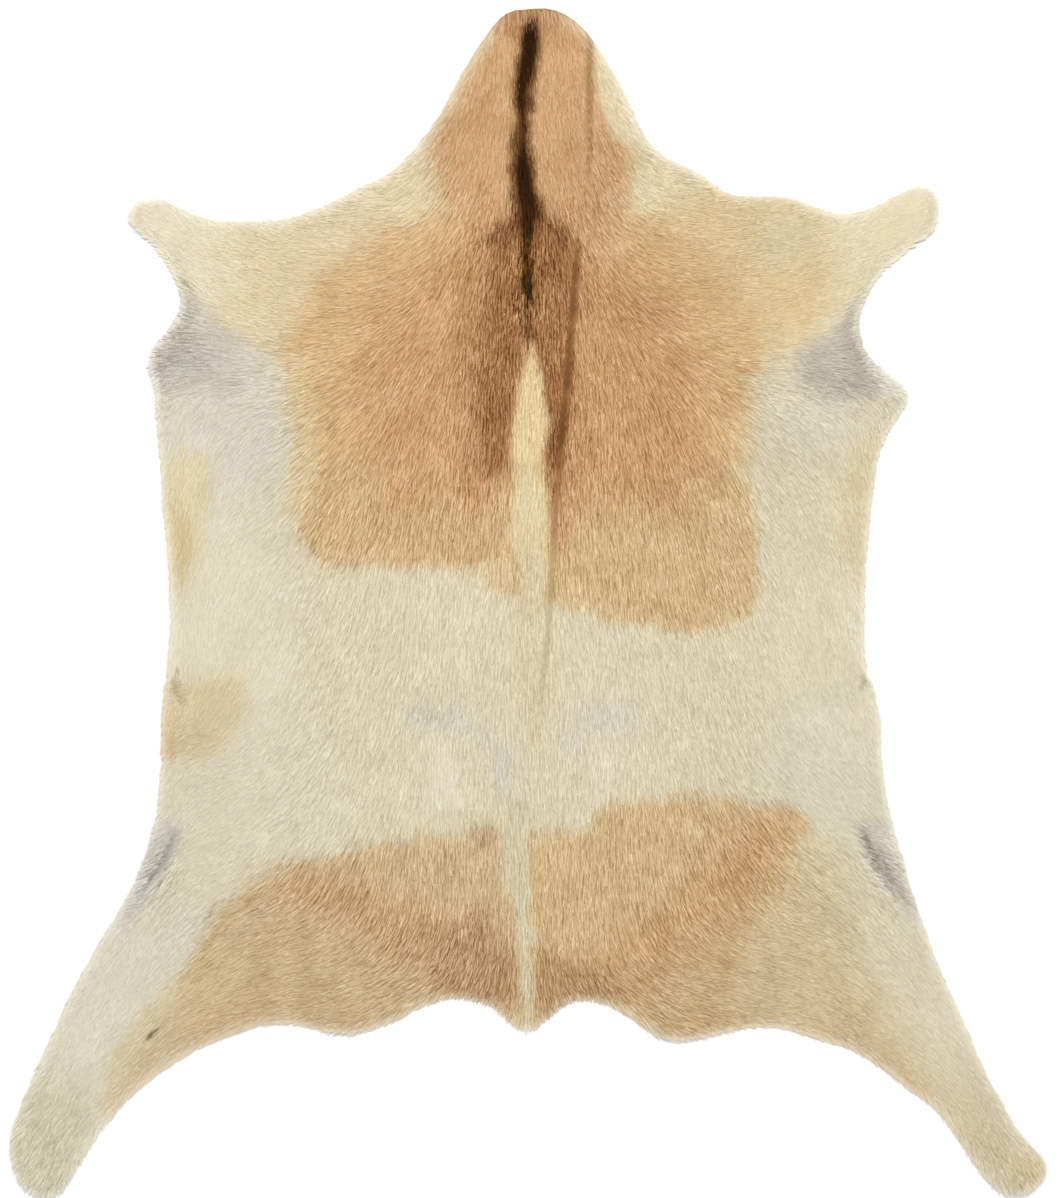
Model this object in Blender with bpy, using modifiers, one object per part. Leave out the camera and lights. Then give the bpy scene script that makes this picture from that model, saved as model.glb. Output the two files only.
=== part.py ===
"""A tanned goatskin with its hair on, laid flat with the hair up.

It is cut as one piece: neck, two fore shanks, body, tail stub and two hind legs. The solid is the
skin together with the coat that lies on it, so its top is the lie of the hair and its edge is where
the hair ends. The neck points to +Y, the right side of the hide is +X and the floor is z = 0.
"""

import math

import bmesh
import bpy
import numpy as np
from mathutils import Vector, geometry, noise

MM = 0.001

# Sizes in millimetres
LENGTH = 900.0  # from the crown of the neck to the hind feet
SKIN = 1.3  # tanned leather at its cut edge
COAT = 2.9  # hair lying on the leather, over the body
EDGE_ROLL = 9.0  # the coat rises from the cut edge to its full depth over this width
EDGE_STEP = 8.0  # between points along the edge
FIELD_STEP = 13.0  # between points inside
FOLD_STEP = 9.0  # between points along a fold
FOLD_FADE = 0.22  # the share of a fold's length over which it fades at either end
FOLD_LINES = (0.0, -0.5, 0.5, -1.0, 1.0)  # lines of points along a fold, as shares of its half width
EDGE_LINES = (0.45, 1.02)  # lines of points along the edge, as shares of EDGE_ROLL
EDGE_WANDER = 0.7  # how far the knife strayed
WANDER_SPAN = 24.0  # from one stray to the next
UNEVENNESS = 0.45  # how far the top rises and falls over the body
UNEVEN_SPAN = 75.0  # from one rise to the next
THINNEST_COAT = 0.8
NOISE_REACH = 1.6  # brings Blender's noise to about -1 to 1

# The edge, clockwise from the crown of the neck. A stretch of it is one row. Each pair is the
# distance across from the spine, to the right, and the distance along from mid-length, to the neck.
EDGE = {
    "crown of the neck": ((-24, 440), (-14, 447), (0, 449), (17, 449), (30, 444), (42, 434)),
    "right side of the neck": ((60, 409), (78, 371), (86, 355), (98, 340)),
    "right shoulder": ((129, 323), (147, 310), (180, 306), (200, 304), (220, 297), (238, 292)),
    "front of the right fore shank": ((254, 296), (283, 310), (295, 314)),
    "end of the right fore shank": ((307, 310), (311, 297), (307, 282)),
    "right armpit": ((293, 269), (262, 241), (254, 226), (250, 211), (252, 197), (259, 184)),
    "right elbow": ((272, 172), (283, 164), (288, 156), (282, 143), (272, 127)),
    "right side of the belly": ((265, 110), (260, 79), (255, 33), (254, -16), (254, -41)),
    "right flank": ((258, -57), (264, -74), (266, -90), (266, -106), (270, -145), (280, -184)),
    "outside of the right hind leg": ((291, -223), (308, -270), (329, -319), (351, -366), (372, -402)),
    "right hind foot": ((391, -423), (392, -431), (385, -442), (373, -449), (359, -449), (348, -440)),
    "inside of the right hind leg": ((338, -427), (321, -401), (299, -376), (287, -368), (259, -347)),
    "right buttock": ((244, -338), (221, -331), (187, -322), (166, -323), (132, -330), (112, -332)),
    "right of the tail": ((97, -328), (80, -317), (55, -304), (44, -303), (31, -304), (19, -313)),
    "tail stub": ((9, -321), (-1, -325), (-14, -319)),
    "left of the tail": ((-31, -306), (-43, -302), (-60, -300), (-80, -307), (-97, -315)),
    "left buttock": ((-112, -321), (-139, -327), (-174, -320), (-204, -321), (-226, -328)),
    "inside of the left hind leg": ((-246, -336), (-284, -360), (-301, -375), (-320, -397), (-344, -434)),
    "left hind foot": ((-350, -445), (-358, -450), (-374, -448), (-384, -439), (-390, -423), (-392, -407)),
    "outside of the left hind leg": ((-383, -380), (-366, -341), (-348, -302), (-325, -260), (-305, -225)),
    "left flank": ((-291, -194), (-281, -159), (-278, -127), (-277, -94), (-277, -75), (-273, -54)),
    "left side of the belly": ((-271, -30), (-272, 19), (-277, 85), (-282, 143), (-285, 167)),
    "left armpit": ((-289, 177), (-286, 189), (-270, 210), (-263, 224), (-266, 238)),
    "end of the left fore shank": ((-282, 266), (-303, 290), (-301, 298), (-285, 304), (-273, 303)),
    "left shoulder": ((-258, 295), (-238, 288), (-219, 287), (-180, 290), (-160, 297), (-127, 313)),
    "left side of the neck": ((-96, 331), (-84, 345), (-61, 379), (-46, 409), (-36, 425)),
}

# Folds of the top, left from how the skin was folded and hung. Height below zero is a trough.
#   name: (height, half width, route as pairs across and along)
FOLDS = {
    "long crease": (-1.1, 9.0, ((47, 423), (47, 357), (44, 325), (39, 267), (28, 153), (16, 46), (11, -61))),
    "roll beside the crease": (0.9, 14.0, ((58, 400), (60, 350), (56, 310), (50, 262), (40, 150), (28, 40))),
    "mane along the neck": (0.8, 20.0, ((3, 434), (-5, 390), (-4, 330), (0, 268), (-1, 200))),
    "right flank fold": (1.6, 12.0, ((248, -158), (258, -182), (268, -208), (279, -236))),
    "right flank hollow": (-1.3, 14.0, ((262, -170), (274, -194), (283, -220))),
    "left flank fold": (1.6, 12.0, ((-262, -158), (-264, -182), (-272, -208), (-283, -236))),
    "left flank hollow": (-1.3, 14.0, ((-276, -166), (-282, -190), (-292, -216))),
    "right armpit pucker": (-1.0, 20.0, ((246, 214), (226, 186), (196, 176))),
    "left armpit pucker": (-1.0, 20.0, ((-256, 216), (-236, 190), (-206, 180))),
    "hollow before the tail": (-0.8, 26.0, ((0, -160), (-2, -240), (0, -300))),
}

# Where the edge stands off the floor: (rise, reach, across, along)
LIFTS = {
    "right fore shank": (5.0, 46.0, 309, 300),
    "left fore shank": (4.0, 44.0, -303, 298),
    "right elbow": (3.0, 34.0, 290, 158),
    "left elbow": (2.0, 26.0, -292, 178),
    "right hind foot": (4.0, 60.0, 388, -436),
    "left hind foot": (5.0, 60.0, -386, -432),
    "right flank": (3.0, 46.0, 276, -90),
    "left flank": (2.5, 46.0, -286, -86),
    "right thigh": (2.0, 60.0, 300, -210),
    "left thigh": (2.0, 60.0, -312, -206),
    "tail stub": (2.0, 26.0, -2, -328),
    "right buttock": (2.5, 40.0, 116, -338),
    "left buttock": (2.5, 40.0, -142, -332),
    "crown of the neck": (2.0, 40.0, 12, 456),
}

# Where the coat is deeper or thinner than over the body: (change, reach, across, along)
COAT_DEPTHS = {
    "neck": (0.7, 120.0, 0, 360),
    "withers": (0.5, 110.0, 0, 230),
    "rump": (0.5, 160.0, 0, -230),
    "right armpit": (-0.9, 80.0, 230, 190),
    "left armpit": (-0.9, 80.0, -240, 195),
    "right shank": (-0.9, 80.0, 300, 300),
    "left shank": (-0.9, 80.0, -300, 300),
    "right foot": (-0.8, 110.0, 370, -420),
    "left foot": (-0.8, 110.0, -370, -420),
}

HAIR_COLOUR = (0.66, 0.47, 0.27, 1.0)
HAIR_ROUGHNESS = 0.62


def clear_scene():
    for existing in list(bpy.data.objects):
        bpy.data.objects.remove(existing, do_unlink=True)


def smooth_route(points, closed, step):
    """Points an even step apart on the curve that passes through the given ones."""
    marks = np.array(points, float)
    count = len(marks)
    last = count if closed else count - 1
    fine = []
    for i in range(last):
        if closed:
            p0, p1, p2, p3 = (marks[(i + k) % count] for k in (-1, 0, 1, 2))
        else:
            p0, p1, p2, p3 = (marks[min(max(i + k, 0), count - 1)] for k in (-1, 0, 1, 2))
        chord = max(np.linalg.norm(p2 - p1), 1e-6)
        before = max(np.linalg.norm(p1 - p0), 1e-6)
        after = max(np.linalg.norm(p3 - p2), 1e-6)
        # Slopes weighted by the chords on either side keep the curve from looping at short ones
        m1 = ((p1 - p0) / before * chord + (p2 - p1) / chord * before) / (chord + before) * chord
        m2 = ((p2 - p1) / chord * after + (p3 - p2) / after * chord) / (chord + after) * chord
        for t in np.arange(0, 1, 0.05):
            fine.append(
                (2 * t**3 - 3 * t**2 + 1) * p1
                + (t**3 - 2 * t**2 + t) * m1
                + (3 * t**2 - 2 * t**3) * p2
                + (t**3 - t**2) * m2
            )
    fine.append(marks[0] if closed else marks[-1])
    fine = np.array(fine)
    run = np.concatenate([[0], np.cumsum(np.linalg.norm(np.diff(fine, axis=0), axis=1))])
    pieces = max(2, round(run[-1] / step))
    stations = np.linspace(0, run[-1], pieces + 1)
    if closed:
        stations = stations[:-1]
    return np.stack([np.interp(stations, run, fine[:, k]) for k in (0, 1)], axis=1)


def nearest_on(points, route, closed=False):
    """How far each point lies from a route of straight pieces, and how far along the route, 0 to 1."""
    starts = route if closed else route[:-1]
    ends = np.roll(route, -1, axis=0) if closed else route[1:]
    nearest = np.full(len(points), np.inf)
    place = np.zeros(len(points))
    for index, (start, end) in enumerate(zip(starts, ends)):
        along = end - start
        share = np.clip((points - start) @ along / max(along @ along, 1e-9), 0, 1)
        away = np.linalg.norm(points - start - share[:, None] * along, axis=1)
        closer = away < nearest
        nearest[closer] = away[closer]
        place[closer] = (index + share[closer]) / len(starts)
    return nearest, place


def inside(points, loop):
    """Which points lie inside a closed loop, counting the crossings of a ray to the right."""
    within = np.zeros(len(points), bool)
    for (x0, y0), (x1, y1) in zip(loop, np.roll(loop, -1, axis=0)):
        if y0 == y1:
            continue
        crosses = (y0 > points[:, 1]) != (y1 > points[:, 1])
        within ^= crosses & (points[:, 0] < (x1 - x0) * (points[:, 1] - y0) / (y1 - y0) + x0)
    return within


def soft_step(share):
    share = np.clip(share, 0, 1)
    return share * share * (3 - 2 * share)


def waves(points, span, seed):
    """Smooth rises and falls between about -1 and 1."""
    return np.array([noise.noise(Vector((x / span, y / span, seed))) for x, y in points]) * NOISE_REACH


def edge_loop():
    """The cut edge, with the small strays of the knife."""
    marks = [point for stretch in EDGE.values() for point in stretch]
    loop = smooth_route(marks, True, EDGE_STEP)
    ahead = np.roll(loop, -1, axis=0) - np.roll(loop, 1, axis=0)
    outward = np.stack([-ahead[:, 1], ahead[:, 0]], axis=1) / np.linalg.norm(ahead, axis=1)[:, None]
    loop = loop + outward * (EDGE_WANDER * waves(loop, WANDER_SPAN, 3.1))[:, None]
    lowest, highest = loop.min(axis=0), loop.max(axis=0)
    loop = (loop - (lowest + highest) / 2) * (LENGTH / (highest[1] - lowest[1]))
    return loop


def sheet_points(loop):
    """The edge's points, then lines of them along the edge and the folds, and a field of triangles."""
    ahead = np.roll(loop, -1, axis=0) - np.roll(loop, 1, axis=0)
    inward = np.stack([ahead[:, 1], -ahead[:, 0]], axis=1) / np.linalg.norm(ahead, axis=1)[:, None]
    kept = loop
    for share in EDGE_LINES:
        inset = EDGE_ROLL * share
        kept = with_clear_points(kept, loop + inward * inset, loop, 0.95 * inset, EDGE_STEP / 2)
    for _, half_width, route in FOLDS.values():
        line = smooth_route(route, False, FOLD_STEP)
        turn = np.gradient(line, axis=0)
        turn = turn / np.linalg.norm(turn, axis=1)[:, None]
        side = np.stack([turn[:, 1], -turn[:, 0]], axis=1)
        for share in FOLD_LINES:
            beside = line + side * share * half_width
            kept = with_clear_points(kept, beside, loop, EDGE_ROLL, FOLD_STEP / 2)
    rows = FIELD_STEP * math.sqrt(0.75)
    lattice = [
        (column * FIELD_STEP + (row % 2) * FIELD_STEP / 2, row * rows)
        for row in range(-int(LENGTH / rows), int(LENGTH / rows))
        for column in range(-int(LENGTH / FIELD_STEP), int(LENGTH / FIELD_STEP))
    ]
    return with_clear_points(kept, np.array(lattice), loop, EDGE_ROLL, FIELD_STEP * 0.6)


def with_clear_points(kept, more, loop, from_edge, clearance):
    """The kept points, and those of the others that lie inside and clear of them and of the edge."""
    more = more[inside(more, loop)]
    more = more[nearest_on(more, loop, True)[0] > from_edge]
    gaps = np.linalg.norm(more[:, None, :] - kept[None, :, :], axis=2).min(axis=1)
    return np.concatenate([kept, more[gaps > clearance]])


def sum_of_spots(points, spots):
    total = np.zeros(len(points))
    for amount, reach, across, along in spots.values():
        away = np.linalg.norm(points - np.array((across, along)), axis=1)
        total += amount * soft_step(1 - away / reach)
    return total


def underside(points):
    """Height of the flesh side: flat on the floor, but for where the edge lifts."""
    return sum_of_spots(points, LIFTS)


def depth(points, loop):
    """Skin and coat together, from the flesh side to the lie of the hair."""
    coat = COAT + sum_of_spots(points, COAT_DEPTHS) + UNEVENNESS * waves(points, UNEVEN_SPAN, 7.7)
    for height, half_width, route in FOLDS.values():
        away, place = nearest_on(points, smooth_route(route, False, FOLD_STEP))
        fade = soft_step(np.minimum(place, 1 - place) / FOLD_FADE)
        coat += height * fade * soft_step(1 - away / half_width)
    rise = np.sqrt(np.clip(nearest_on(points, loop, True)[0] / EDGE_ROLL, 0, 1))
    return SKIN + rise * np.maximum(coat, THINNEST_COAT)


def hair_material():
    material = bpy.data.materials.new("Hair on the hide")
    material.use_nodes = True
    shader = material.node_tree.nodes["Principled BSDF"]
    shader.inputs["Base Color"].default_value = HAIR_COLOUR
    shader.inputs["Roughness"].default_value = HAIR_ROUGHNESS
    shader.inputs["Metallic"].default_value = 0.0
    return material


def make_hide():
    """The flesh side as an open sheet, which Solidify thickens by the depth of skin and coat."""
    loop = edge_loop()
    points = sheet_points(loop)
    ring = [(i, (i + 1) % len(loop)) for i in range(len(loop))]
    flat, _, triangles, _, _, _ = geometry.delaunay_2d_cdt([Vector(p) for p in points], ring, [], 1, 1e-4)
    flat = np.array([tuple(p) for p in flat])
    heights = underside(flat)
    depths = depth(flat, loop)

    mesh = bpy.data.meshes.new("hide")
    build = bmesh.new()
    corners = [build.verts.new((x * MM, y * MM, z * MM)) for (x, y), z in zip(flat, heights)]
    for triangle in triangles:
        build.faces.new([corners[i] for i in triangle])
    bmesh.ops.recalc_face_normals(build, faces=build.faces)
    if sum(face.normal.z for face in build.faces) < 0:
        bmesh.ops.reverse_faces(build, faces=build.faces)
    build.to_mesh(mesh)
    build.free()

    hide = bpy.data.objects.new("hide", mesh)
    deepest = float(depths.max())
    group = hide.vertex_groups.new(name="depth of skin and coat")
    for index, value in enumerate(depths):
        group.add([index], float(value) / deepest, "REPLACE")
    thicken = hide.modifiers.new("Skin and coat", "SOLIDIFY")
    thicken.thickness = deepest * MM
    thicken.offset = 1.0
    thicken.vertex_group = group.name
    thicken.use_rim = True
    mesh.materials.append(hair_material())
    mesh.shade_smooth()
    mesh.set_sharp_from_angle(angle=math.radians(50))
    return hide


def main():
    clear_scene()
    collection = bpy.data.collections.new("Goatskin")
    bpy.context.scene.collection.children.link(collection)
    collection.objects.link(make_hide())


main()
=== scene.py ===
"""A tanned goatskin with its hair on, lying flat: the looks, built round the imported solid.

Tables of places are in millimetres: across from the spine, positive to the right, and along from
mid-length, positive to the neck. Turns are degrees outward from the line that runs to the tail.
"""

import math
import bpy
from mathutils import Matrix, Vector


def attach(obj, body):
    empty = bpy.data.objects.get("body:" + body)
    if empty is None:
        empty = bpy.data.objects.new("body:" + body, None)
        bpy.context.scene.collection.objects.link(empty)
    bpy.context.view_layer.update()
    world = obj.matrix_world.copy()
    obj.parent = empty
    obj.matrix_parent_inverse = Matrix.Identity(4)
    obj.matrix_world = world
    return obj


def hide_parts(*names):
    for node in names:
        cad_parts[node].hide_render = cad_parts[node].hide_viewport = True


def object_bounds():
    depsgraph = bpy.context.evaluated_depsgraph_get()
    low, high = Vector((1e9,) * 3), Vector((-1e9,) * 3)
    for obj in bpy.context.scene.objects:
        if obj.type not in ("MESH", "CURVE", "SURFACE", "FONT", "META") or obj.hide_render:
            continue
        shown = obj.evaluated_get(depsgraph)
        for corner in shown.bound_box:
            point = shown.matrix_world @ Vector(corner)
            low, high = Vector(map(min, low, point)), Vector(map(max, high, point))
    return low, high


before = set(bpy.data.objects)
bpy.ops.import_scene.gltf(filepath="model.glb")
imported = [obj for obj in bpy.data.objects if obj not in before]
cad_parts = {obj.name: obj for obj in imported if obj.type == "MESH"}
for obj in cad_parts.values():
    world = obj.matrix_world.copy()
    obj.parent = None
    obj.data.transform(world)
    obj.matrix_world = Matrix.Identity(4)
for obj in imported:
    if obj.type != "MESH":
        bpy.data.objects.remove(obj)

from types import SimpleNamespace

import bmesh
import bpy
import numpy as np
from mathutils import Vector, geometry
from mathutils.bvhtree import BVHTree

CAD_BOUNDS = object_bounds()
MM = 0.001
SEED = 20
TINY = 1e-9

# Sizes of the skin and the coat, in millimetres
SKIN = 1.3
SKIN_INSET = 1.4
OVERHANG = 5.5
LEAST_COAT = 1.1
HAIR_LENGTH = 10.5
HAIR_WIDTH = 0.8
TUFT = 2.2

# Steps and margins of the maps and meshes, in millimetres
MAP_STEP = 2.0
MAP_MARGIN = 14.0
SKIN_STEP = 7.0
UNDERCOAT_STEP = 4.0

LOCKS_A_PIECE = 98000
FUR_PIECES = 4
TUFT_GRID = 512

# How locks differ: shares of their size, and degrees by tuft, by lock and by area
LENGTH_SPREAD = 0.18
WIDTH_SPREAD = 0.2
TUFT_SWING = 3.0
LOCK_SWING = 1.5
AREA_SWING = 5.0
LOCK_ROLL = 4.0
TIP_WIDTH = 0.3

# How high locks lie, as shares of the coat's depth, and how far tufts and locks differ in it
ROOT_HEIGHT = 0.3
TIP_HEIGHT = 0.5
LEVEL = 0.25
TUFT_LEVEL = 0.36
LOCK_LEVEL = 0.05

# Painted light and shade across a tuft, one side lit and the other shaded; and tone that differs at random
# from tuft to tuft and from lock to lock
PAINTED_TUFT_SHADING = 1.38
TUFT_TONE = 0.2
LOCK_TONE = 0.15
# A coat as pale as this differs least in tone, and a darker one more
PALE = 0.84
LEAST_UNEVEN = 0.014
MORE_UNEVEN = 0.45
# Each lock's warmer or colder red and blue
WARMTH = 0.004
WARM = np.array([1.0, 0.0, -1.6])

# How far the hair leans outward at the hide's edge, and how far in that reaches
EDGE_LEAN = 0.38
EDGE_LEAN_REACH = 16.0

# How far the rims of patches and stripes wander, as shares of their fade
PATCH_WANDER = 0.5
STRIPE_WANDER = 1.3

# Which way the hair lies, read from the strokes in the photograph, left and right together, and rounded.
# Each row is a section across the hide: its along, and its turns at COMB_ACROSS
COMB_ACROSS = (0, 45, 75, 105, 135, 165, 195, 225, 255, 290, 350)
COMB = {
    440: (0, 6, 15, 30, 40, 50, 50, 50, 50, 50, 50),
    400: (0, 9, 22, 35, 50, 60, 60, 60, 60, 60, 60),
    360: (0, 13, 24, 45, 60, 70, 80, 90, 95, 100, 100),
    325: (0, 19, 32, 72, 80, 82, 90, 95, 100, 105, 105),
    290: (0, 20, 46, 78, 82, 86, 94, 98, 106, 110, 110),
    260: (0, 17, 46, 67, 86, 91, 96, 99, 114, 125, 125),
    230: (0, 10, 37, 68, 82, 89, 99, 107, 125, 130, 130),
    200: (0, 8, 25, 51, 76, 87, 94, 100, 97, 95, 95),
    168: (0, 6, 17, 35, 57, 71, 76, 80, 70, 60, 60),
    138: (0, 4, 12, 22, 36, 53, 56, 46, 18, 10, 10),
    108: (0, 4, 8, 15, 25, 37, 40, 28, 9, 0, 0),
    60: (0, 4, 7, 12, 18, 28, 32, 28, 9, 0, 0),
    15: (0, 6, 8, 10, 15, 22, 22, 18, 3, 0, 0),
    -40: (0, 5, 7, 12, 19, 21, 21, 14, 0, 0, 0),
    -85: (0, 3, 7, 12, 18, 24, 33, 36, 15, 5, 5),
    -135: (0, 0, 2, 12, 19, 32, 41, 54, 35, 15, 15),
    -180: (0, 0, 2, 8, 18, 31, 43, 50, 48, 30, 20),
    -210: (0, 0, 3, 7, 20, 35, 52, 52, 45, 30, 15),
    -232: (0, 2, 8, 16, 34, 50, 64, 56, 38, 25, 18),
    -255: (1, 7, 21, 37, 50, 69, 70, 62, 46, 25, 20),
    -285: (2, 27, 52, 65, 74, 74, 71, 60, 52, 37, 22),
    -318: (3, 35, 56, 63, 70, 78, 77, 66, 60, 44, 26),
    -375: (5, 45, 58, 62, 66, 68, 66, 62, 58, 48, 32),
    -440: (5, 45, 56, 60, 62, 62, 60, 56, 52, 44, 29),
}
# The hair spreads a little more on the left of the belly than on the right
LEFT_SPREAD = 0.14
LEFT_SPREAD_REACH = 130

# Where the hair turns about: (across, along, reach, turn)
WHORLS = {
    "right flank, upper": (258, -178, 22, 66),
    "right flank, middle": (268, -200, 22, 62),
    "right flank, lower": (280, -224, 20, 46),
    "left flank, upper": (-272, -180, 22, 58),
    "left flank, middle": (-284, -200, 22, 64),
    "left flank, lower": (-296, -226, 20, 60),
    "left waist": (-264, -66, 13, 95),
    "right waist": (258, -62, 10, 60),
    "left waist, lower": (-248, -104, 28, 66),
}

# How hair length differs: (factor, reach, across, along)
LENGTHS = {
    "neck": (0.92, 130, 0, 380),
    "tail": (0.85, 90, 0, -290),
    "right belly rim": (1.15, 60, 250, 40),
    "left belly rim": (1.15, 60, -268, 40),
    "right shank": (0.72, 70, 300, 300),
    "left shank": (0.72, 70, -300, 300),
    "right foot": (0.8, 110, 360, -420),
    "left foot": (0.8, 110, -360, -420),
    "withers": (0.78, 80, 0, 220),
    "left waist whorl": (0.55, 24, -262, -68),
    "right waist whorl": (0.6, 22, 254, -62),
    "left flank": (0.75, 40, -280, -200),
    "right flank": (0.75, 40, 266, -196),
}

# Where single locks differ more in tone: (how much, reach, across, along)
GRIZZLED = {
    "left flank": (0.055, 22, -280, -200),
    "right flank": (0.05, 22, 268, -196),
    "about the stripe": (0.05, 20, -1, 264),
    "end of the stripe": (0.09, 18, -1, 226),
}

# Where the coat lies smoother: (how much, across, along, half width, half length)
CALM = {
    "left shoulder": (0.55, -190, 262, 115, 75),
    "right shoulder": (0.6, 190, 262, 115, 75),
    "left shank": (0.7, -290, 288, 55, 45),
    "right shank": (0.7, 290, 288, 55, 45),
    "saddle, top left": (0.3, -110, 215, 60, 60),
    "saddle, top right": (0.3, 110, 215, 60, 60),
    "left side": (0.65, -238, -20, 60, 210),
    "right side": (0.45, 238, -20, 60, 190),
    "neck": (0.54, 0, 385, 90, 75),
    "left leg": (0.55, -302, -312, 70, 82),
    "right leg": (0.58, 302, -318, 72, 90),
    "left thigh": (0.4, -190, -285, 70, 50),
    "right thigh": (0.42, 190, -285, 70, 50),
    "saddle, left": (0.25, -110, 150, 60, 60),
    "saddle, right": (0.2, 110, 150, 60, 60),
    "left armpit": (0.28, -240, 185, 50, 45),
    "right armpit": (0.28, 240, 185, 50, 45),
}

# How far red, green and blue each move between a dark and a light lock
STROKE_TINT = np.array([0.9, 1.0, 1.1])
# A last trim of the whole coat's red, green and blue in this scene's light
COAT_GAIN = np.array([0.973, 0.979, 0.993])
# Towards the hide's rim the thinner coat is paler: colour, strength, reach in
RIM = ((233, 228, 214), 0.42, 13.0)
# The coat's ground colour
CREAM = (213, 203, 173)

# Broad changes of colour, one of them painted shade: (colour, strength, across, along, half width, half
# length)
WASHES = {
    "left side": ((217, 209, 183), 0.8, -225, 0, 55, 190),
    "right side": ((215, 205, 175), 0.8, 210, 0, 60, 170),
    "left chest": ((212, 205, 185), 0.9, -225, 130, 50, 50),
    "right chest, greyish": ((213, 204, 180), 0.8, 220, 135, 40, 30),
    "left waist": ((216, 208, 181), 0.8, -215, -160, 80, 60),
    "right waist, greyish": ((214, 208, 184), 0.8, 235, -120, 45, 50),
    # Painted shade: a darker band along the spine's ridge on the belly
    "belly by the spine, painted shade": ((209, 195, 160), 0.8, 6, -40, 14, 60),
    "left leg": ((217, 211, 189), 0.9, -320, -300, 60, 110),
    "left foot": ((205, 197, 168), 0.9, -362, -408, 46, 48),
    "right leg": ((217, 207, 178), 1.0, 310, -320, 75, 110),
    "right foot": ((205, 192, 160), 1.0, 362, -410, 50, 66),
    "right foot, golden end": ((209, 189, 150), 0.7, 385, -428, 18, 18),
}

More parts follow.
